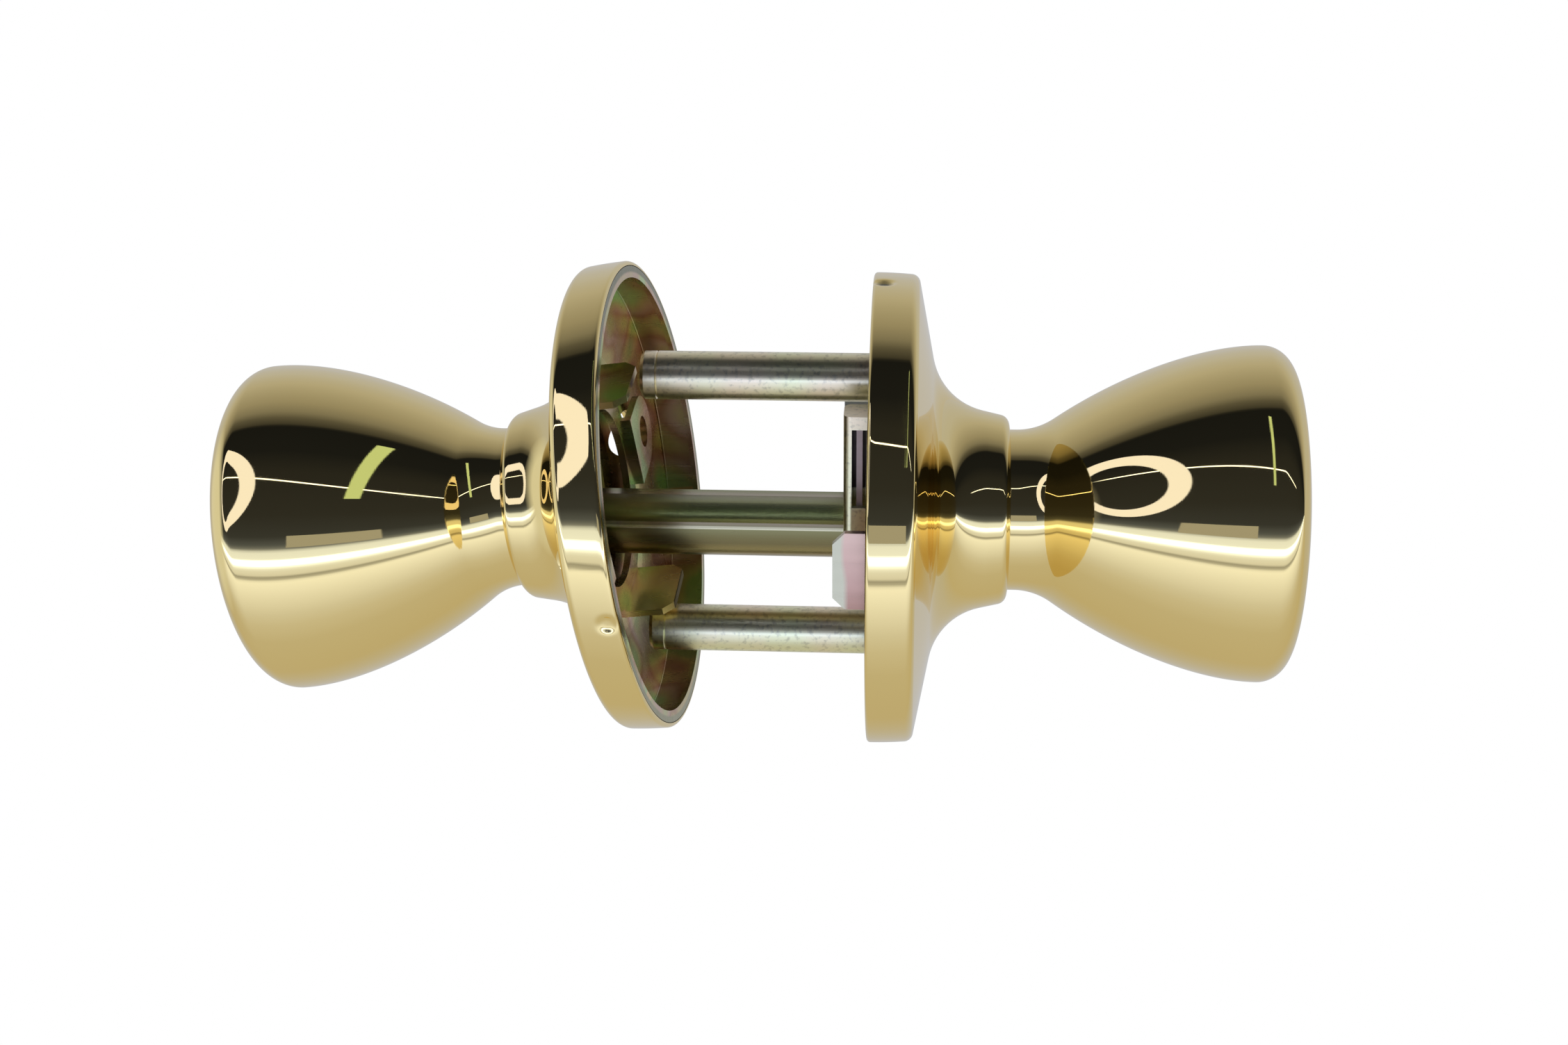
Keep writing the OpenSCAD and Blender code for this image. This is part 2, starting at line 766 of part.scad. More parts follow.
exterior_rose();
exterior_liner();
exterior_cage();
exterior_bush();
exterior_knob();
exterior_knob_core();
exterior_shank();
exterior_retaining_ring();
exterior_drive_plate();
spindle();
spindle_pin();
cam_plate();
return_spring();
spring_housing();
housing_leaf();
upper_post();
lower_post();
interior_rose();
interior_liner();
interior_cage();
interior_bush();
interior_knob();
interior_knob_core();
interior_shank();
interior_retaining_ring();
interior_drive_plate();
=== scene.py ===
"""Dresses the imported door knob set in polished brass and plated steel, and sets up its small studio."""

import json
import math

import bpy
import numpy as np
from mathutils import Matrix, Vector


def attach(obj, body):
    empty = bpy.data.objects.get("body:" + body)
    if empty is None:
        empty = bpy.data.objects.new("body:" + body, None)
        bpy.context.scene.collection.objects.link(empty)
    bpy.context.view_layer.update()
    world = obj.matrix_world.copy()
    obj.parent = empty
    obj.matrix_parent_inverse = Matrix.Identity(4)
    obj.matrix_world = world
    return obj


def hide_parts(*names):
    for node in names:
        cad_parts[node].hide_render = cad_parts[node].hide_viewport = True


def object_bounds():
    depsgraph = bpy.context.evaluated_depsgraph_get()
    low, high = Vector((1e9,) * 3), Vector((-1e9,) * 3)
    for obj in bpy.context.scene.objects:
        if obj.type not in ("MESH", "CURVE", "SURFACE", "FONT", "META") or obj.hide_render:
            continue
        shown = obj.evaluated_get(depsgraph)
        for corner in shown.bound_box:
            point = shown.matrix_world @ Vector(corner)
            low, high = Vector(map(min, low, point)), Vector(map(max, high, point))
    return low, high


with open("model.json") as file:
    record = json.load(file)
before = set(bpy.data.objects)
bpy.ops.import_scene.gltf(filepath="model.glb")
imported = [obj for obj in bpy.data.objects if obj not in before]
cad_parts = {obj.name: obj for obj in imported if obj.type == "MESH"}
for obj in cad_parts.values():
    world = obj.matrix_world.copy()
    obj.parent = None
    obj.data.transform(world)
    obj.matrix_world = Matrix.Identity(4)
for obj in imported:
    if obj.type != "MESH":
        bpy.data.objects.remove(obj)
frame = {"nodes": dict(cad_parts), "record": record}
cad_low, cad_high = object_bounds()
nodes = frame["nodes"]

MM = 0.001

# Sizes of the part's source, in millimetres and radians, that the smooth brass repeats
ROSE_R = 32.5
SKIRT_H = 6.1
DOME_RISE = 3.3
COLLAR_ROOT_R = 15.0
COLLAR_R = 12.85
ROSE_H = 18.8
ROSE_WALL = 0.6
SKIRT_ROUND = 1.3
DOME_FILLET = 9.0
COLLAR_ROUND = 1.4
LOOSE = 0.3
KNOB_R = 23.1
KNOB_LEN = 58.8
NECK_R = 11.1
NECK_LEN = 3.8
FLARE_ANGLE = math.radians(34)
NECK_FILLET = 9.0
FLARE_LEN = 3.5
SHOULDER_R = 3.8
CROWN_R = 95.0
KNOB_WALL = 1.0
CURVE_HANDLE = 0.61
POST_Z = 19.05
SCREW_HOLE_R = 3.4
CRIMP_AT = 1.5
CRIMP_R = 1.2
DOOR_GAP = 35.0
REST_GAP = 30.1
REST_LIFT = 1.65
DROOP = math.radians(7.6)
SWAY = math.radians(2.7)
ROSE_TURN = math.radians(82)

# Small forms that only the smooth brass has: barrelled skirts, round rims and soft crimps
SKIRT_BEND_AT = 2.6
SKIRT_BEND_R = 55.0
RIM_DRAFT = math.radians(0.4)
DOME_DRAFT = math.radians(4.4)
RIM_ROUND = 0.5
LEAST_ROUND = 0.2
CRIMP_DEPTH = 0.5
CRIMP_FADE = 4

# How finely the smooth brass is divided
BODY_STEPS = 72
SHOULDER_STEPS = 28
CROWN_STEPS = 24
INSIDE_SKIP = 4
KNOB_COLUMNS = 256
RIM_STEPS = 10
COARSE_COLUMNS = 104
FINE_COLUMNS = 72
FINE_HALF = math.radians(14)
HOLE_STEPS = 96
SHARP_ANGLE = math.radians(40)

# Sizes of the part's source, in millimetres, where the plated steel changes its tint
CAGE_WALL = 1.0
LOWER_TAB_AT = 15.8
EXTERIOR_TAB_AT = 20.5
SPINDLE_R = 7.0
HOUSING_AT = 8.4
HOUSING_W = 5.0
HOUSING_WALL = 0.9

# Where one tint fades into another, from and to, in millimetres, and the usual width of a fade
SOFT = 0.2
INTERIOR_SIDE = (-20, -19)
LOWER_TAB_ROOT = (6, 6.6)
LOWER_TAB_END = (-0.4, -0.3)
INTERIOR_LIP_EDGE = (30.8, 31.1)
INTERIOR_LIP_DEPTH = (0.3, 0.5)
EXTERIOR_LIP_EDGE = (28, 28.5)
SPINDLE_SIDE = (SPINDLE_R + 0.3, SPINDLE_R + 0.6)
TROUGH_WALL = (SPINDLE_R - 1.5, SPINDLE_R - 0.5)
# Painted highlight along the spindle trough's near edge, across Y and up Z
PAINTED_HIGHLIGHT_EDGE_Y = (-6.4, -6.1)
PAINTED_HIGHLIGHT_EDGE_Z = (-0.8, -0.7)
# Painted highlight along the near exterior tab's bent end: where it fades out along X
PAINTED_HIGHLIGHT_STRIP = (-3.1, -2.4)
# Painted shade at the exterior rose's upper crimp: full out to the first distance from its middle, gone at
# the second
PAINTED_CRIMP_SHADE = (0.7, CRIMP_R)

# Lowest and highest place, in millimetres, of tints that cover a stretch
EXTERIOR_LIP_X = (-0.1, 0.3)
EXTERIOR_TABS_X = (-6, 4)
FAR_TAB_Y = (EXTERIOR_TAB_AT - CAGE_WALL / 2 - 0.2, EXTERIOR_TAB_AT - CAGE_WALL / 2 + 0.3)
NEAR_TAB_Y = (-EXTERIOR_TAB_AT - 0.7, -EXTERIOR_TAB_AT + 0.7)
LOWER_TAB_SIDE = (LOWER_TAB_AT - CAGE_WALL, LOWER_TAB_AT + 0.8 * CAGE_WALL)
# Painted shade inside the spring housing: where it lies along X, Y and Z
HOUSING_SHADE_X = (-6, 6)
HOUSING_SHADE_Y = (-(HOUSING_AT + HOUSING_W - HOUSING_WALL) + 0.1, -(HOUSING_AT + HOUSING_WALL) + 0.1)
HOUSING_SHADE_Z = (6.8, 16.8)
LIP_Z = (-20, 30)
NEAR_TAB_Z = (-6, 5)
TROUGH_INSIDE_Z = (-5, -0.5)
TROUGH_OUTSIDE_Z = (-SPINDLE_R, -0.5)


# Outlines: arrays of points, each the distance from the axis and the distance from the rim


def unit(vectors):
    """Each vector over its own length."""
    return vectors / np.linalg.norm(vectors, axis=-1, keepdims=True)


def inset(points, depth):
    """Each side moves along its left normal by depth; a corner moves along the sum of its two normals."""
    sides = unit(np.diff(points, axis=0))
    normals = np.stack([-sides[:, 1], sides[:, 0]], axis=1)
    before, after = normals[:-1], normals[1:]
    shares = 1 + np.sum(before * after, axis=1, keepdims=True)
    corners = points[1:-1] + depth * (before + after) / shares
    return np.vstack([points[:1] + depth * normals[:1], corners, points[-1:] + depth * normals[-1:]])


def corner_arc(before, corner, after, radius, steps):
    """Points on the circle of that radius that touches both sides of the corner, at even angles."""
    back, onward = unit(before - corner), unit(after - corner)
    half = math.acos(np.dot(back, onward)) / 2
    centre = corner + unit(back + onward) * radius / math.sin(half)
    start = corner + back * radius / math.tan(half) - centre
    turn = math.pi - 2 * half
    side = np.sign(back[0] * onward[1] - back[1] * onward[0])
    angles = math.atan2(start[1], start[0]) - side * turn * np.linspace(0, 1, steps)
    return centre + radius * np.stack([np.cos(angles), np.sin(angles)], axis=1)


def line(start, finish, steps):
    """Even points from start up to, but not at, finish."""
    shares = np.linspace(0, 1, steps, endpoint=False)[:, None]
    return np.asarray(start) * (1 - shares) + np.asarray(finish) * shares


def rounded(points, radii, side_steps, arc_steps):
    """The outline with an arc in place of every inner corner, and even points along every side."""
    arcs = [corner_arc(*points[i - 1:i + 2], radii[i - 1], arc_steps) for i in range(1, len(points) - 1)]
    ends = [points[:1], *arcs, points[-1:]]
    parts = []
    for before, after, steps in zip(ends[:-1], ends[1:], side_steps):
        parts += [before[:-1], line(before[-1], after[0], steps)]
    return np.vstack([*parts, points[-1:]])


def rose_outline(depth):
    """The rose's surface at some depth under the outside, from the rim to the collar's hole.
    Its skirt is a little barrelled: the slope towards the axis grows from the rim to the dome."""
    bend_r = ROSE_R - SKIRT_BEND_AT * math.tan(RIM_DRAFT)
    corners = np.array([
        [ROSE_R, 0],
        [bend_r, SKIRT_BEND_AT],
        [bend_r - (SKIRT_H - SKIRT_BEND_AT) * math.tan(DOME_DRAFT), SKIRT_H],
        [COLLAR_ROOT_R, SKIRT_H + DOME_RISE],
        [COLLAR_R, ROSE_H],
        [NECK_R + LOOSE, ROSE_H],
    ])
    radii = [
        SKIRT_BEND_R - depth,
        max(SKIRT_ROUND - depth, LEAST_ROUND),
        DOME_FILLET + depth,
        max(COLLAR_ROUND - depth, LEAST_ROUND),
    ]
    return rounded(inset(corners, depth), radii, side_steps=[6, 6, 24, 6, 3], arc_steps=14)


def knob_outline():
    """The knob's outside: neck, fillet, flare, a cubic curve to the widest point, shoulder and crown.
    The cubic curve has two handles that aim at the point where its end tangents meet.
    The shoulder and the crown are arcs, and the shoulder's arc touches the crown's from inside."""
    neck = np.array([NECK_R, ROSE_H - ROSE_WALL - LOOSE])
    root = np.array([NECK_R, ROSE_H + NECK_LEN])
    flare = root + FLARE_LEN * np.array([math.sin(FLARE_ANGLE), math.cos(FLARE_ANGLE)])
    crown_at = KNOB_LEN - CROWN_R
    shoulder_in = KNOB_R - SHOULDER_R
    shoulder_at = crown_at + math.sqrt((CROWN_R - SHOULDER_R) ** 2 - shoulder_in ** 2)
    crown_edge = math.atan(shoulder_in / (shoulder_at - crown_at))
    bulge = np.array([KNOB_R, shoulder_at])
    aim = flare + (KNOB_R - flare[0]) * np.array([1, 1 / math.tan(FLARE_ANGLE)])
    flare_handle = flare + CURVE_HANDLE * (aim - flare)
    bulge_handle = bulge + CURVE_HANDLE * (aim - bulge)
    t = np.linspace(0, 1, BODY_STEPS)[1:, None]
    body = (
        (1 - t) ** 3 * flare
        + 3 * (1 - t) ** 2 * t * flare_handle
        + 3 * (1 - t) * t ** 2 * bulge_handle
        + t ** 3 * bulge
    )
    bend = np.linspace(math.pi / 2, crown_edge, SHOULDER_STEPS)[1:]
    shoulder = np.stack([
        shoulder_in + SHOULDER_R * np.sin(bend),
        shoulder_at + SHOULDER_R * np.cos(bend),
    ], axis=1)
    bend = np.linspace(crown_edge, 0, CROWN_STEPS)[1:]
    crown = np.stack([CROWN_R * np.sin(bend), crown_at + CROWN_R * np.cos(bend)], axis=1)
    start = rounded(np.array([neck, root, flare]), [NECK_FILLET], side_steps=[6, 2], arc_steps=20)
    return np.vstack([start, body, shoulder, crown])


# Places of the two halves. A half is drawn on its own axis: X runs from its rim to its knob


def exterior(points):
    """The exterior half is drawn in place."""
    return points


def rest_shift():
    """How far the hanging rim lies to the side.
    The step to its square place has no part along the line of the hinge that it rocks on."""
    line_x = -math.sin(SWAY) * math.sin(DROOP)
    line_y = math.sin(DROOP) * (1 + math.cos(SWAY))
    line_z = math.sin(SWAY) * (1 + math.cos(DROOP))
    return ((REST_GAP - DOOR_GAP) * line_x - REST_LIFT * line_z) / line_y


def interior(points):
    """A half turn about Z, the sway about Z, the droop about Y, and the hanging rim's place."""
    x = -points[:, 0] * math.cos(SWAY) - points[:, 1] * math.sin(SWAY)
    y = points[:, 0] * math.sin(SWAY) - points[:, 1] * math.cos(SWAY)
    z = points[:, 2]
    drooped_x = x * math.cos(DROOP) - z * math.sin(DROOP)
    drooped_z = x * math.sin(DROOP) + z * math.cos(DROOP)
    return np.stack([drooped_x - REST_GAP, y + rest_shift(), drooped_z + REST_LIFT], axis=1)


def interior_rose(points):
    """The interior half, after a turn about its own axis."""
    c, s = math.cos(ROSE_TURN), math.sin(ROSE_TURN)
    y = points[:, 1] * c - points[:, 2] * s
    z = points[:, 1] * s + points[:, 2] * c
    return interior(np.stack([points[:, 0], y, z], axis=1))


# Meshes


def make_piece(name, points, faces, uv, finish, body, replaced):
    """A mesh from whole arrays, with smooth shading apart from sharp edges.
    The points are in millimetres, and uv holds one pair for each of them."""
    mesh = bpy.data.meshes.new(name)
    mesh.from_pydata((points * MM).tolist(), [], faces)
    mesh.update()
    corners = np.zeros(len(mesh.loops), np.int32)
    mesh.loops.foreach_get("vertex_index", corners)
    layer = mesh.uv_layers.new(name="surface")
    layer.data.foreach_set("uv", uv[corners].astype(np.float32).ravel())
    mesh.shade_smooth()
    mesh.set_sharp_from_angle(angle=SHARP_ANGLE)
    mesh.materials.append(finish)
    piece = bpy.data.objects.new(name, mesh)
    bpy.context.scene.collection.objects.link(piece)
    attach(piece, body)
    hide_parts(replaced)


def lathe_points(outline, angles):
    """Every point of the outline carried round X.
    Row k, column a is at the distance of point k from the axis, and at angle a from +Z."""
    r, along = outline[:, :1], outline[:, 1:]
    y, z = r * np.sin(angles), r * np.cos(angles)
    return np.stack([np.broadcast_to(along, y.shape), y, z], axis=-1)


def arc_lengths(outline):
    """Distance of each point from the first one, along the outline."""
    steps = np.linalg.norm(np.diff(outline, axis=0), axis=1)
    return np.concatenate([[0], np.cumsum(steps)])


def lathe_uv(outline, angles):
    """Angle in turns, and distance along the outline in millimetres."""
    u, v = np.meshgrid(angles / (2 * math.pi), arc_lengths(outline))
    return np.stack([u, v], axis=-1).reshape(-1, 2)


def grid_faces(rows, columns, closed_rows):
    """Quads between neighbouring rows of a grid whose columns close on themselves."""
    last = rows if closed_rows else rows - 1
    k, a = np.meshgrid(np.arange(last), np.arange(columns), indexing="ij")
    k_next, a_next = (k + 1) % rows, (a + 1) % columns
    corners = [k * columns + a, k * columns + a_next, k_next * columns + a_next, k_next * columns + a]
    return np.stack(corners, axis=-1).reshape(-1, 4)


def knob_piece(name, place, finish, body):
    """A thick shell of revolution whose outline starts at the middle of its inside.
    It runs round the neck's edge and ends at the middle of its outside."""
    outside = knob_outline()
    inside = inset(outside[::INSIDE_SKIP], KNOB_WALL)[:-1][::-1]
    outline = np.vstack([inside, outside[:-1]])
    angles = np.linspace(0, 2 * math.pi, KNOB_COLUMNS, endpoint=False)
    ring = lathe_points(outline, angles)
    poles = np.array([[KNOB_LEN - KNOB_WALL, 0, 0], [KNOB_LEN, 0, 0]])
    points = np.vstack([ring.reshape(-1, 3), poles])
    uv = np.vstack([lathe_uv(outline, angles), [[0, 0], [0, arc_lengths(outline)[-1]]]])
    rows, columns = ring.shape[:2]
    a = np.arange(columns)
    a_next = (a + 1) % columns
    inner_pole = np.full(columns, rows * columns)
    outer_pole = inner_pole + 1
    last = (rows - 1) * columns
    caps = np.vstack([
        np.stack([inner_pole, a_next, a], axis=1),
        np.stack([outer_pole, last + a, last + a_next], axis=1),
    ])
    faces = grid_faces(rows, columns, closed_rows=False).tolist() + caps.tolist()
    make_piece(name, place(points), faces, uv, finish, body, name.replace("_shell", ""))


def rose_angles():
    """Angles round the rose, finer near the crimps and the screw holes, at the bottom and the top."""
    coarse = np.linspace(FINE_HALF, math.pi - FINE_HALF, COARSE_COLUMNS, endpoint=False)
    fine = np.linspace(math.pi - FINE_HALF, math.pi + FINE_HALF, FINE_COLUMNS, endpoint=False)
    return np.concatenate([coarse, fine, coarse + math.pi, fine + math.pi])


def rose_piece(name, place, finish, body, replaced, screw_holes):
    """A thick shell of revolution with two crimps in its skirt and, on one half, two screw holes.
    The outer edge of its rim is a quarter round."""
    straight = rose_outline(0)
    rim = corner_arc(np.array([0, 0]), straight[0], straight[1], RIM_ROUND, RIM_STEPS)
    outside = np.vstack([rim, straight[straight[:, 1] > RIM_ROUND + LEAST_ROUND]])
    inside = rose_outline(ROSE_WALL)
    outline = np.vstack([outside, inside[::-1]])
    angles = rose_angles()
    rows, columns = len(outline), len(angles)
    points = lathe_points(outline, angles).reshape(-1, 3)
    uv = lathe_uv(outline, angles)
    faces = grid_faces(rows, columns, closed_rows=True)
    outer = np.arange(rows * columns) < len(outside) * columns
    points = crimped(points, outer)
    if screw_holes:
        middles = (-POST_Z, POST_Z)
        for middle in middles:
            points, faces = cut_hole(points, faces, outer, outside, inside, middle)
        for middle in middles:
            wall = hole_wall(outside, inside, middle)
            points, faces, uv = add_wall(points, faces, uv, wall)
    make_piece(name, place(points), faces.tolist(), uv, finish, body, replaced)


def crimped(points, outer):
    """The points with a crimp pressed into the skirt's outside at the bottom and at the top.
    A crimp moves a point towards the axis. The move falls as e to the minus fourth power
    of the point's distance from the crimp's middle over the crimp's radius."""
    r = np.hypot(points[:, 1], points[:, 2])
    skirt_from_r = ROSE_R - 1.01 * RIM_ROUND
    on_skirt = outer & (r > skirt_from_r)
    away = np.hypot(points[:, 0] - CRIMP_AT, points[:, 1])
    depth = np.where(on_skirt, CRIMP_DEPTH * np.exp(-(away / CRIMP_R) ** CRIMP_FADE), 0)
    return points - depth[:, None] * np.stack([0 * r, points[:, 1] / r, points[:, 2] / r], axis=1)


def height_at(outline, r):
    """Distance from the rim of an outline at distance r from the axis, where it only gets narrower."""
    order = np.argsort(outline[:, 0], kind="stable")
    return np.interp(r, outline[order, 0], outline[order, 1])


def cut_hole(points, faces, outer, outside, inside, middle):
    """A point inside a screw hole moves out to the hole's edge, and a face inside it is left out."""
    tiny = 1e-6
    offset = points[:, 1:] - [0, middle]
    away = np.linalg.norm(offset, axis=1)
    in_hole = away < SCREW_HOLE_R
    edge = offset / np.maximum(away, tiny)[:, None] * SCREW_HOLE_R + [0, middle]
    edge_r = np.linalg.norm(edge, axis=1)
    height = np.where(outer, height_at(outside, edge_r), height_at(inside, edge_r))
    moved = np.column_stack([height, edge])
    left_out = in_hole[faces].all(axis=1)
    return np.where(in_hole[:, None], moved, points), faces[~left_out]


def hole_wall(outside, inside, middle):
    """Two rings of points round a screw hole, one on each surface of the rose."""
    a = np.linspace(0, 2 * math.pi, HOLE_STEPS, endpoint=False)
    y = SCREW_HOLE_R * np.cos(a)
    z = middle + SCREW_HOLE_R * np.sin(a)
    r = np.hypot(y, z)
    return np.vstack([np.column_stack([height_at(outline, r), y, z]) for outline in (outside, inside)])


def add_wall(points, faces, uv, wall):
    """The mesh with a hole's two rings of points added, and quads between them."""
    a = np.arange(HOLE_STEPS)
    a_next = (a + 1) % HOLE_STEPS
    strip = np.stack([a, a_next, HOLE_STEPS + a_next, HOLE_STEPS + a], axis=1) + len(points)
    wall_uv = np.zeros((len(wall), 2))
    return np.vstack([points, wall]), np.vstack([faces, strip]), np.vstack([uv, wall_uv])


# Finishes


class Value:
    """A number from a shader socket. Each operator adds one Math node."""

    def __init__(self, board, socket):
        self.board = board
        self.socket = socket

    def math(self, operation, first, second):
        return self.board.value("ShaderNodeMath", {"operation": operation}, {0: first, 1: second})

    def __add__(self, other):
        return self.math("ADD", self, other)

    __radd__ = __add__

    def __sub__(self, other):
        return self.math("SUBTRACT", self, other)

    def __rsub__(self, other):
        return self.math("SUBTRACT", other, self)

    def __mul__(self, other):
        return self.math("MULTIPLY", self, other)

    __rmul__ = __mul__

    def __truediv__(self, other):
        return self.math("DIVIDE", self, other)

    def __rtruediv__(self, other):
        return self.math("DIVIDE", other, self)

    def __pow__(self, other):
        return self.math("POWER", self, other)


class Board:
    """The nodes of one material or of the world."""

    def __init__(self, tree):
        self.tree = tree
        tree.nodes.clear()

    def node(self, kind, settings=None, inputs=None):
        """A node of that kind: its settings come first, then the values or links of its sockets."""
        made = self.tree.nodes.new(kind)
        for key, setting in (settings or {}).items():
            if key == "stops":
                self.set_stops(made.color_ramp, setting)
            else:
                setattr(made, key, setting)
        for key, given in (inputs or {}).items():
            if isinstance(given, Value):
                self.tree.links.new(given.socket, made.inputs[key])
            else:
                made.inputs[key].default_value = given
        return made

    def set_stops(self, ramp, stops):
        """Gives a ramp its stops, each a position and a colour, in rising order."""
        while len(ramp.elements) < len(stops):
            ramp.elements.new(1)
        for element, (position, colour) in zip(ramp.elements, stops):
            element.position = position
            element.color = (*colour, 1)

    def value(self, kind, settings=None, inputs=None, output=0):
        """The output of a new node."""
        return Value(self, self.node(kind, settings, inputs).outputs[output])

    def noise(self, where, scale, detail=2, roughness=0.5):
        inputs = {"Vector": where, "Scale": scale, "Detail": detail, "Roughness": roughness}
        return self.value("ShaderNodeTexNoise", {}, inputs)

    def ramp(self, value, stops):
        return self.value("ShaderNodeValToRGB", {"stops": stops}, {"Fac": value})

    def blend(self, share, first, second):
        """The first colour where the share is nothing, and the second where it is one."""
        inputs = {"Factor": share, 6: first, 7: second}
        return self.value("ShaderNodeMix", {"data_type": "RGBA"}, inputs, output=2)

    def spread(self, value, low, high, to_low=0.0, to_high=1.0):
        """The value, with low to high stretched to the new range and held at its ends."""
        inputs = {0: value, 1: low, 2: high, 3: to_low, 4: to_high}
        return self.value("ShaderNodeMapRange", {"clamp": True}, inputs)

    def below(self, value, low, high):
        """One where the value is under low, fading to nothing at high."""
        return self.spread(value, low, high, 1.0, 0.0)

    def between(self, value, low, high, soft=SOFT):
        """One from low to high, fading to nothing over a soft width on each side."""
        return self.spread(value, low - soft, low) * self.below(value, high, high + soft)

    def parts(self, vector):
        """The three numbers of a vector."""
        split = self.node("ShaderNodeSeparateXYZ", {}, {0: vector})
        return [Value(self, socket) for socket in split.outputs]

    def distance_along(self, place, start, direction):
        """How far a place lies from a start point along a direction of length one."""
        settings, inputs = {"operation": "DOT_PRODUCT"}, {0: place, 1: tuple(direction)}
        along = self.value("ShaderNodeVectorMath", settings, inputs, output="Value")
        return along - float(np.dot(start, direction))

    def distance_from(self, place, point):
        """How far a place lies from a point."""
        settings, inputs = {"operation": "DISTANCE"}, {0: place, 1: tuple(point)}
        return self.value("ShaderNodeVectorMath", settings, inputs, output="Value")

    def object_place(self, stretch=(1, 1, 1)):
        """The place on the object in metres, times the stretch along each axis."""
        place = self.value("ShaderNodeTexCoord", output="Object")
        return self.value("ShaderNodeMapping", {}, {"Vector": place, "Scale": stretch})

    def place_in_mm(self):
        """The place on the object in millimetres, as in the part's source."""
        return self.object_place((1 / MM, 1 / MM, 1 / MM))

    def surface_place(self, stretch):
        """The place on the piece's own UV map, times the stretch along each axis."""
        place = self.value("ShaderNodeTexCoord", output="UV")
        return self.value("ShaderNodeMapping", {}, {"Vector": place, "Scale": stretch})

    def bump(self, height, strength, distance):
        inputs = {"Height": height, "Strength": strength, "Distance": distance}
        return self.value("ShaderNodeBump", {}, inputs)

    def shader(self, inputs):
        """The surface of a finish, from the inputs of one Principled shader."""
        made = self.node("ShaderNodeBsdfPrincipled", {}, inputs)
        self.node("ShaderNodeOutputMaterial", {}, {"Surface": Value(self, made.outputs[0])})


def new_finish(name):
    """A new node material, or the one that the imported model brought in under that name."""
    material = bpy.data.materials.get(name) or bpy.data.materials.new(name)
    material.use_nodes = True
    return material, Board(material.node_tree)


def polished_brass():
    """Mirror brass under lacquer: faint clouds in its colour, fine turning lines and a few dull smudges.
    The upper crimp of the exterior rose has painted shade in dark brown, for a dent deeper than the crimp,
    and is rougher there."""
    finish, board = new_finish("polished_brass")
    # The brown here is the colour of the painted shade at the upper crimp
    warm, pale, brown = (0.9, 0.71, 0.305, 1), (0.885, 0.7, 0.315, 1), (0.1, 0.09, 0.045, 1)
    clouds = board.noise(board.object_place(), scale=60, detail=3)
    lines = board.noise(board.surface_place((3, 9, 1)), scale=1, detail=4, roughness=0.6)
    smudges = board.spread(board.noise(board.object_place(), scale=140, detail=5), 0.5, 0.75)
    # Painted shade: the upper crimp darkens to brown, for a dent deeper than the crimp's shape
    from_crimp = board.distance_from(board.place_in_mm(), (CRIMP_AT, 0, ROSE_R))
    painted_crimp_shade = board.below(from_crimp, *PAINTED_CRIMP_SHADE)
    board.shader({
        "Base Color": board.blend(painted_crimp_shade, board.blend(clouds, warm, pale), brown),
        "Metallic": 1.0,
        "Roughness": 0.02 + 0.03 * smudges + 0.2 * painted_crimp_shade,
        "Normal": board.bump(lines, strength=0.02, distance=0.00002),
    })
    return finish


def yellow_zinc():
    """Plated steel under a yellow film that drifts through olive, brown, rose and green.
    It is golden on the interior cage's lower tab, with painted shade at the tab's end, greyer on the
    dishes' lips, thin and dull on the far exterior tab, lilac on the near one with a painted highlight
    along its bent end, and banded along the spindle, partly with painted highlight and shade, with a
    painted highlight on the trough's near edge."""
    finish, board = new_finish("yellow_zinc_steel")
    dull_grey = (0.62, 0.62, 0.55, 1)
    place = board.place_in_mm()
    x, y, z = board.parts(place)
    from_axis = (y * y + z * z) ** 0.5
    rolled = board.noise(board.object_place((40, 900, 900)), scale=1, detail=2)
    film = board.spread(board.noise(board.object_place(), scale=95, detail=1), 0.34, 0.66)
    rim, knobward, sideways = interior_rose(np.array([[0, 0, 0], [1, 0, 0], [0, -1, 0]]))
    from_rim = board.distance_along(place, rim, knobward - rim)
    from_middle = board.distance_along(place, rim, sideways - rim)

    on_interior = board.below(x, *INTERIOR_SIDE)
    across_tab = board.between(from_middle, *LOWER_TAB_SIDE)
    on_lower_tab = on_interior * across_tab * board.below(from_rim, *LOWER_TAB_ROOT)
    # Painted shade goes on the lower tab's end face, which this mask marks
    at_tab_end = board.below(from_rim, *LOWER_TAB_END)
    on_interior_edge = board.spread(board.distance_from(place, rim), *INTERIOR_LIP_EDGE)
    on_interior_lip = on_interior * board.below(from_rim, *INTERIOR_LIP_DEPTH) * on_interior_edge
    on_exterior_lip = board.between(x, *EXTERIOR_LIP_X) * board.spread(from_axis, *EXTERIOR_LIP_EDGE)
    along_tabs = board.between(x, *EXTERIOR_TABS_X, soft=0.5)
    on_far_tab = board.between(y, *FAR_TAB_Y) * along_tabs
    on_near_tab = board.between(y, *NEAR_TAB_Y) * along_tabs
    on_spindle = board.below(from_axis, *SPINDLE_SIDE)

    colour = board.blend(on_lower_tab, sheet_film(board, film), golden_film(board, film, at_tab_end))
    colour = board.blend(on_interior_lip + on_exterior_lip, colour, lip_film(board, z))
    colour = board.blend(on_far_tab, colour, dull_grey)
    colour = board.blend(on_near_tab, colour, lilac_film(board, film, x, z))
    colour = board.blend(on_spindle, colour, spindle_film(board, y, z, from_axis))
    board.shader({
        "Base Color": colour,
        "Metallic": 1 - 0.85 * on_far_tab,
        "Roughness": 0.2 + 0.12 * rolled + 0.3 * on_far_tab + 0.5 * on_lower_tab * at_tab_end,
        "Normal": board.bump(rolled, strength=0.05, distance=0.00003),
    })
    return finish


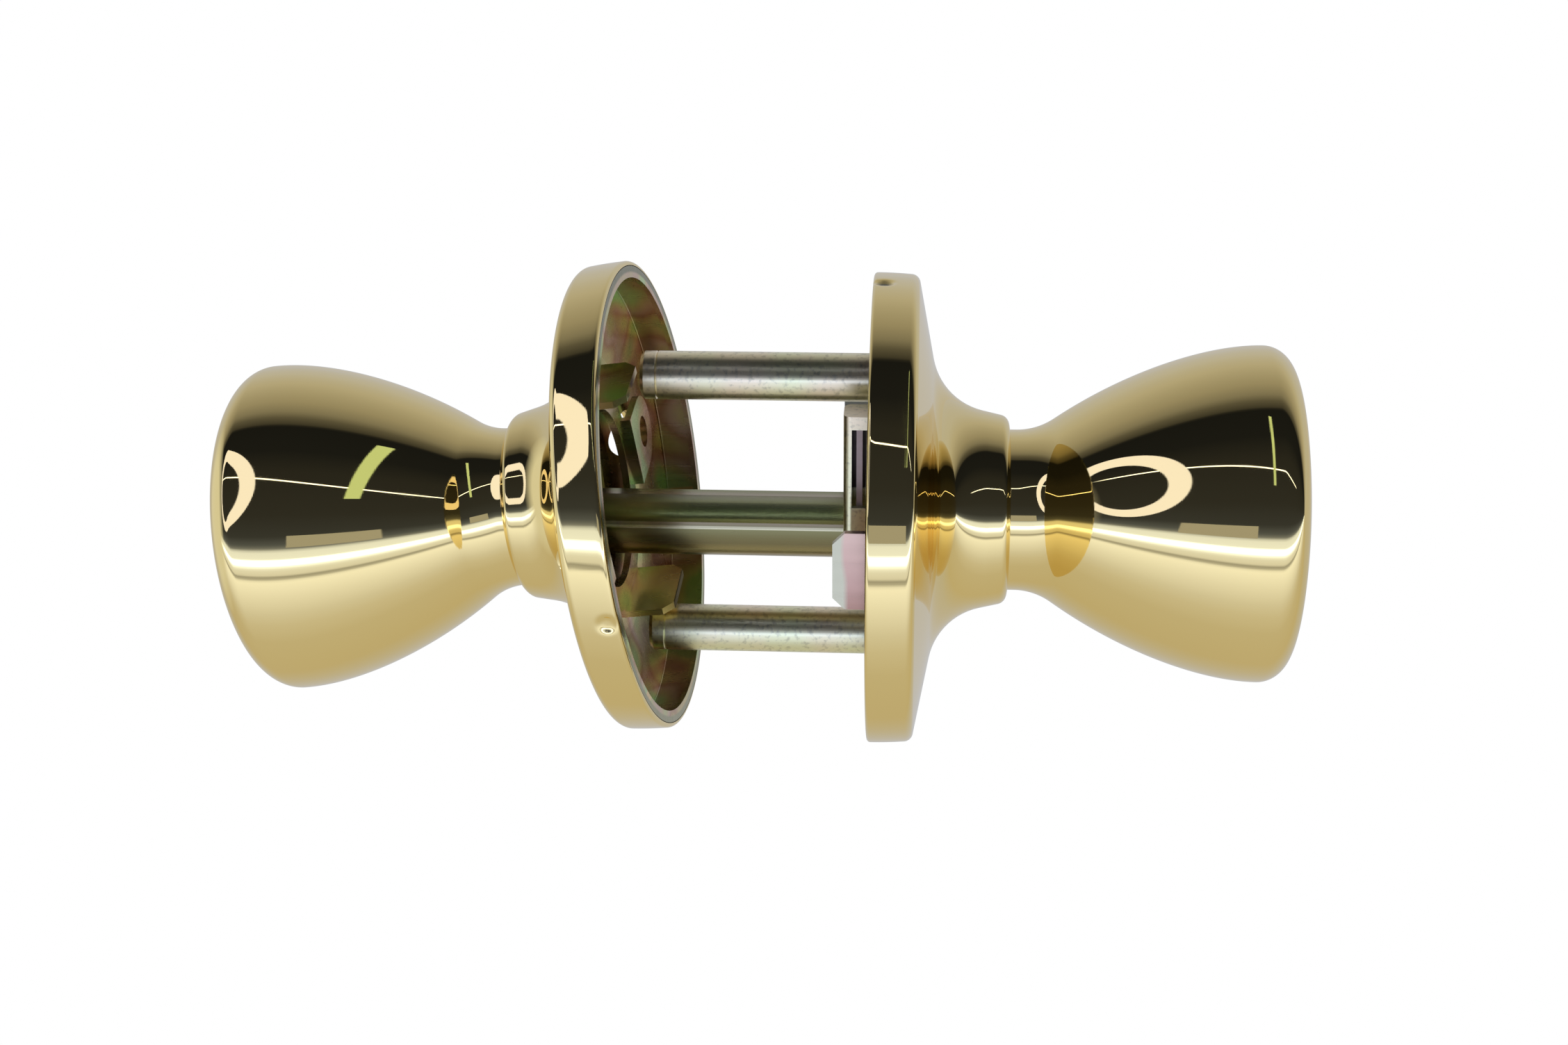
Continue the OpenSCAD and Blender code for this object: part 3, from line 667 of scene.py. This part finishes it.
def sheet_film(board, film):
    """Olive, brown, rose and green, in turn as the film gets thicker."""
    return board.ramp(film, [
        (0.0, (0.42, 0.5, 0.2)),
        (0.2, (0.6, 0.5, 0.22)),
        (0.42, (0.47, 0.27, 0.16)),
        (0.6, (0.6, 0.42, 0.32)),
        (0.8, (0.58, 0.5, 0.26)),
        (1.0, (0.46, 0.62, 0.28)),
    ])


def golden_film(board, film, at_end):
    """Gold with a little green and rose, and painted shade in dark brown at the tab's end."""
    gold = board.ramp(film, [
        (0.0, (0.7, 0.72, 0.24)),
        (0.5, (0.85, 0.68, 0.27)),
        (1.0, (0.8, 0.58, 0.28)),
    ])
    # Painted shade: dark brown on the tab's end face
    dark = (0.25, 0.2, 0.09, 1)
    return board.blend(at_end, gold, dark)


def lip_film(board, z):
    """Grey olive, darker towards the top."""
    bottom, top = (0.34, 0.33, 0.18, 1), (0.19, 0.19, 0.11, 1)
    return board.blend(board.spread(z, *LIP_Z), bottom, top)


def lilac_film(board, film, x, z):
    """Lilac, darker towards the bottom, with an uneven painted highlight along the tab's bent end."""
    lilac = board.ramp(board.spread(z, *NEAR_TAB_Z), [
        (0.0, (0.46, 0.27, 0.21)),
        (0.35, (0.62, 0.4, 0.33)),
        (1.0, (0.76, 0.54, 0.44)),
    ])
    # Painted highlight: a pale strip along the tab's bent end, made uneven by the film's noise
    painted_highlight_colour, unevenness = (0.63, 0.61, 0.45, 1), 1.5
    painted_bend_highlight = board.below(x + unevenness * film, *PAINTED_HIGHLIGHT_STRIP)
    return board.blend(painted_bend_highlight, lilac, painted_highlight_colour)


def spindle_film(board, y, z, from_axis):
    """Brown, green and brown down the inside of the trough; grey, gold and brown outside.
    A painted highlight runs along the trough's near edge."""
    # The bands down the trough are partly the film's colours and partly painted highlight and shade; the
    # bright green in the middle of the inside is a painted highlight
    inside = board.ramp(board.spread(z, *TROUGH_INSIDE_Z), [
        (0.0, (0.3, 0.26, 0.16)),
        (0.25, (0.42, 0.42, 0.2)),
        (0.5, (0.75, 0.85, 0.34)),
        (0.7, (0.55, 0.56, 0.28)),
        (1.0, (0.4, 0.33, 0.23)),
    ])
    outside = board.ramp(board.spread(z, *TROUGH_OUTSIDE_Z), [
        (0.0, (0.2, 0.15, 0.07)),
        (0.3, (0.46, 0.37, 0.15)),
        (0.6, (0.27, 0.24, 0.13)),
        (1.0, (0.31, 0.3, 0.15)),
    ])
    # Painted highlight: a pale colour along the trough's near edge
    painted_highlight_colour = (0.88, 0.85, 0.62, 1)
    film = board.blend(board.spread(from_axis, *TROUGH_WALL), inside, outside)
    wear_and_painted_highlight = board.spread(z, *PAINTED_HIGHLIGHT_EDGE_Z) * board.below(y, *PAINTED_HIGHLIGHT_EDGE_Y)
    return board.blend(wear_and_painted_highlight, film, painted_highlight_colour)


def bright_zinc():
    """Bright plated steel, a little olive and rose, with drawn lines and small specks.
    The inside of the spring housing has painted shade, nearly black."""
    finish, board = new_finish("bright_zinc_steel")
    olive, rose = (0.88, 0.87, 0.55, 1), (0.94, 0.8, 0.57, 1)
    # The second colour is the nearly black painted shade inside the spring housing
    speck, housing_shade_colour = (0.3, 0.28, 0.2, 1), (0.05, 0.04, 0.035, 1)
    x, y, z = board.parts(board.place_in_mm())
    tint = board.spread(board.noise(board.object_place(), scale=110, detail=2), 0.35, 0.65)
    drawn = board.noise(board.object_place((60, 1800, 1800)), scale=1, detail=3)
    specks = board.spread(board.noise(board.object_place(), scale=1500, detail=2), 0.52, 0.72)
    # Painted shade: the inside of the spring housing goes nearly black
    painted_housing_shade = board.between(y, *HOUSING_SHADE_Y, soft=0.1) * board.between(x, *HOUSING_SHADE_X, soft=1)
    painted_housing_shade = painted_housing_shade * board.between(z, *HOUSING_SHADE_Z, soft=0.3)
    colour = board.blend(0.45 * specks, board.blend(tint, olive, rose), speck)
    board.shader({
        "Base Color": board.blend(painted_housing_shade, colour, housing_shade_colour),
        "Metallic": 1.0,
        "Roughness": 0.25 + 0.14 * drawn,
        "Normal": board.bump(drawn, strength=0.06, distance=0.00003),
    })
    return finish


def bearing_bronze():
    """Dull sintered bronze with fine pores."""
    finish, board = new_finish("bearing_bronze")
    dark, light = (0.5, 0.36, 0.2, 1), (0.6, 0.45, 0.26, 1)
    pores = board.noise(board.object_place(), scale=2600, detail=3)
    tone = board.noise(board.object_place(), scale=200, detail=2)
    board.shader({
        "Base Color": board.blend(tone, dark, light),
        "Metallic": 1.0,
        "Roughness": 0.4 + 0.2 * pores,
        "Normal": board.bump(pores, strength=0.3, distance=0.0001),
    })
    return finish


def spring_steel():
    """Dark oiled steel with light wear."""
    finish, board = new_finish("spring_steel")
    oiled, wear_and_painted_highlight = (0.26, 0.19, 0.16, 1), (0.46, 0.35, 0.31, 1)
    wear = board.noise(board.object_place(), scale=400, detail=4)
    board.shader({
        "Base Color": board.blend(wear, oiled, wear_and_painted_highlight),
        "Metallic": 1.0,
        "Roughness": 0.28 + 0.16 * wear,
        "Normal": board.bump(wear, strength=0.1, distance=0.00005),
    })
    return finish


finishes = {made.name: made for made in (
    polished_brass(), yellow_zinc(), bright_zinc(), bearing_bronze(), spring_steel(),
)}
for part in frame["record"]["subparts"]:
    nodes[part["node"]].data.materials.clear()
    nodes[part["node"]].data.materials.append(finishes[part["material_slot"]])

brass = finishes["polished_brass"]
knob_piece("exterior_knob_shell", exterior, brass, "exterior_knob")
knob_piece("interior_knob_shell", interior, brass, "interior_knob")
rose_piece("exterior_rose_cover", exterior, brass, "exterior_half", "exterior_rose", screw_holes=False)
rose_piece("interior_rose_cover", interior_rose, brass, "interior_half", "interior_rose", screw_holes=True)


# Studio: white all round for the camera, and for the metal a white tent that is open and dark at the front

# Angle about the object from the front's horizon, over the top, in degrees, with the brightness there
# and how cool it is
STUDIO_BANDS = [
    (-125, 0.56, 0.1), (-100, 0.54, -0.3), (-65, 0.58, -0.1), (-50, 0.66, 0.1), (-41, 0.75, 0.3),
    (-34, 0.86, 0.4), (-28, 0.95, 0.45), (-21, 1.07, 0.5), (-16.5, 1.15, 0.5), (-14.8, 0.95, 0.5),
    (-13.8, 0.42, 0.4), (-12.4, 0.42, 0.4), (-11.2, 0.86, 0.5), (-8, 0.95, 0.6), (-5.8, 1.25, 0.8),
    (-4.8, 2.6, 0.9), (-1.4, 2.6, 0.9), (-0.2, 1.15, 0.85), (5, 1.05, 0.83), (6.8, 0.28, 0.8),
    (9, 0.12, 1.0), (15, 0.05, 0.8), (30, 0.034, 0.5), (60, 0.026, 0.4), (76, 0.014, 0.7),
    (96.8, 0.012, 0.7), (97.6, 0.045, 0.1), (104, 0.112, 0.05), (110, 0.235, 0.05), (120, 0.345, 0.0),
    (143, 0.51, 0.1), (160, 0.57, 0.3),
]


def band_colour(brightness, coolness):
    """White of that brightness, with less red and more blue as it gets cooler."""
    less_red, more_blue = 0.18 * coolness, 0.55 * coolness
    return brightness * (1 - less_red), brightness, brightness * (1 + more_blue)


def studio_world():
    """A tent by angle about X, closed on the left, with a long thin lamp in its dark front."""
    side_white, lamp_white, white = (0.75, 0.8, 0.88, 1), (3.0, 3.3, 4.2, 1), (1, 1, 1, 1)
    world = bpy.data.worlds.new("studio")
    world.use_nodes = True
    board = Board(world.node_tree)
    toward = board.value("ShaderNodeTexCoord", output="Generated")
    x, y, z = board.parts(toward)
    turn = x.math("ARCTAN2", z, -1 * y) / math.pi
    stops = [((angle + 180) / 360, band_colour(bright, cool)) for angle, bright, cool in STUDIO_BANDS]
    bands = board.ramp(0.5 + 0.5 * turn, stops)
    closed_side = board.below(x, -0.93, -0.8)
    sided = board.blend(closed_side, bands, side_white)
    lit = board.blend(thin_lamp(board, x, turn * 180), sided, lamp_white)
    seen = board.value("ShaderNodeLightPath", output="Is Camera Ray")
    colour = board.blend(seen, lit, white)
    background = board.value("ShaderNodeBackground", {}, {"Color": colour, "Strength": 1.0})
    board.node("ShaderNodeOutputWorld", {}, {"Surface": background})
    bpy.context.scene.world = world


def thin_lamp(board, x, turn):
    """One on a narrow slanted line in front of the object, as far as the lamp reaches to each side."""
    middle_angle, slant = 53, 11
    bright_half, dark_half = 0.2, 0.5
    off = x.math("ABSOLUTE", turn + slant * x - middle_angle, 0)
    across = board.below(off, bright_half, dark_half)
    reach = board.between(x, -0.75, 0.72, soft=0.05)
    return across * reach


def lamp_sheet(name, points, faces, colour):
    """A glowing sheet, in millimetres, that shows in the metal but not to the camera."""
    mesh = bpy.data.meshes.new(name)
    mesh.from_pydata((np.asarray(points) * MM).tolist(), [], faces)
    sheet = bpy.data.objects.new(name, mesh)
    bpy.context.scene.collection.objects.link(sheet)
    finish, board = new_finish(name)
    glow = board.value("ShaderNodeEmission", {}, {"Color": (*colour, 1), "Strength": 1.0})
    board.node("ShaderNodeOutputMaterial", {}, {"Surface": glow})
    mesh.materials.append(finish)
    sheet.visible_camera = False


def arc_points(distance, x, degrees):
    """Points round the X axis at one distance: the angle runs from the front's horizon over the top."""
    a = np.radians(degrees)
    return np.column_stack([x, -distance * np.cos(a), distance * np.sin(a)])


def ring_lamp():
    """An oval ring in front of the object, high up on the left, bent round the object.
    Each edge is an ellipse: across it is millimetres along X, and upright it is degrees about X."""
    distance, middle_x, steps = 490, -486, 96
    inner_x, inner_degrees, inner_middle = 196, 24, 48.5
    outer_x, outer_degrees, outer_middle = 274, 32.5, 49.5
    a = np.linspace(0, 2 * math.pi, steps, endpoint=False)
    inner = arc_points(distance, middle_x + inner_x * np.cos(a), inner_middle + inner_degrees * np.sin(a))
    outer = arc_points(distance, middle_x + outer_x * np.cos(a), outer_middle + outer_degrees * np.sin(a))
    k = np.arange(steps)
    k_next = (k + 1) % steps
    faces = np.stack([k, k_next, steps + k_next, steps + k], axis=1)
    colour = (1.09, 1.14, 1.6)
    lamp_sheet("ring_lamp", np.vstack([inner, outer]), faces.tolist(), colour)


def tube_lamp():
    """A greenish strip on the right that runs from in front of the object to above it.
    It stands edge on to the right knob."""
    first, last, steps = 41, 89, 13
    near_distance, near_x = 400, 68
    far_distance, far_x = 600, 90
    degrees = np.linspace(first, last, steps)
    near = arc_points(near_distance, np.full(steps, near_x), degrees)
    far = arc_points(far_distance, np.full(steps, far_x), degrees)
    k = np.arange(steps - 1)
    faces = np.stack([k, k + 1, steps + k + 1, steps + k], axis=1)
    colour = (0.62, 0.82, 0.54)
    lamp_sheet("tube_lamp", np.vstack([near, far]), faces.tolist(), colour)


def front_card():
    """A pale card that stands in front of the object, below the camera."""
    left, right, front, low, high = -77, 33, -200, 25, 53
    points = [(left, front, low), (right, front, low), (right, front, high), (left, front, high)]
    colour = (0.4, 0.42, 0.48)
    lamp_sheet("front_card", points, [(0, 1, 2, 3)], colour)


def white_floor():
    """A pale sheet under the object that the camera sees as white."""
    gap, side = 0.004, 3.0
    level = cad_low.z - gap
    corners = [(-side, -side, level), (side, -side, level), (side, side, level), (-side, side, level)]
    mesh = bpy.data.meshes.new("floor")
    mesh.from_pydata(corners, [], [(0, 1, 2, 3)])
    floor = bpy.data.objects.new("floor", mesh)
    bpy.context.scene.collection.objects.link(floor)
    finish, board = new_finish("floor_white")
    pale, white = (0.8, 0.8, 0.8, 1), (1, 1, 1, 1)
    paper = board.value("ShaderNodeBsdfDiffuse", {}, {"Color": pale})
    glow = board.value("ShaderNodeEmission", {}, {"Color": white, "Strength": 1.0})
    seen = board.value("ShaderNodeLightPath", output="Is Camera Ray")
    mixed = board.value("ShaderNodeMixShader", {}, {0: seen, 1: paper, 2: glow})
    board.node("ShaderNodeOutputMaterial", {}, {"Surface": mixed})
    mesh.materials.append(finish)
    floor.visible_glossy = False


def photo_camera():
    """A camera from the photograph's perspective.
    It is placed by where the exterior rim's middle and the direction of the knob axis show there."""
    width, focal, middle = 2256, 3000, (1128, 752)
    rim, rim_depth = (1253.6, 730.1), 0.29
    sensor, nearest = 36, 0.01
    elevation = math.radians(23.06)
    axis = unit(np.array([1, -0.0175, 0.064]))
    up = np.array([0, math.cos(elevation), math.sin(elevation)])
    up = unit(up - axis * np.dot(up, axis))
    turn = np.stack([axis, np.cross(up, axis), up], axis=1)
    rim_place = np.array([rim[0] - middle[0], middle[1] - rim[1], -focal]) * rim_depth / focal
    camera = bpy.data.objects.new("camera", bpy.data.cameras.new("camera"))
    bpy.context.scene.collection.objects.link(camera)
    camera.data.sensor_width = sensor
    camera.data.lens = sensor * focal / width
    camera.data.clip_start = nearest
    matrix = np.eye(4)
    matrix[:3, :3] = turn.T
    matrix[:3, 3] = -turn.T @ rim_place
    camera.matrix_world = Matrix(matrix.tolist())
    bpy.context.scene.camera = camera


studio_world()
ring_lamp()
tube_lamp()
front_card()
white_floor()
photo_camera()
bpy.context.scene.view_settings.view_transform = "Standard"

bpy.context.view_layer.update()
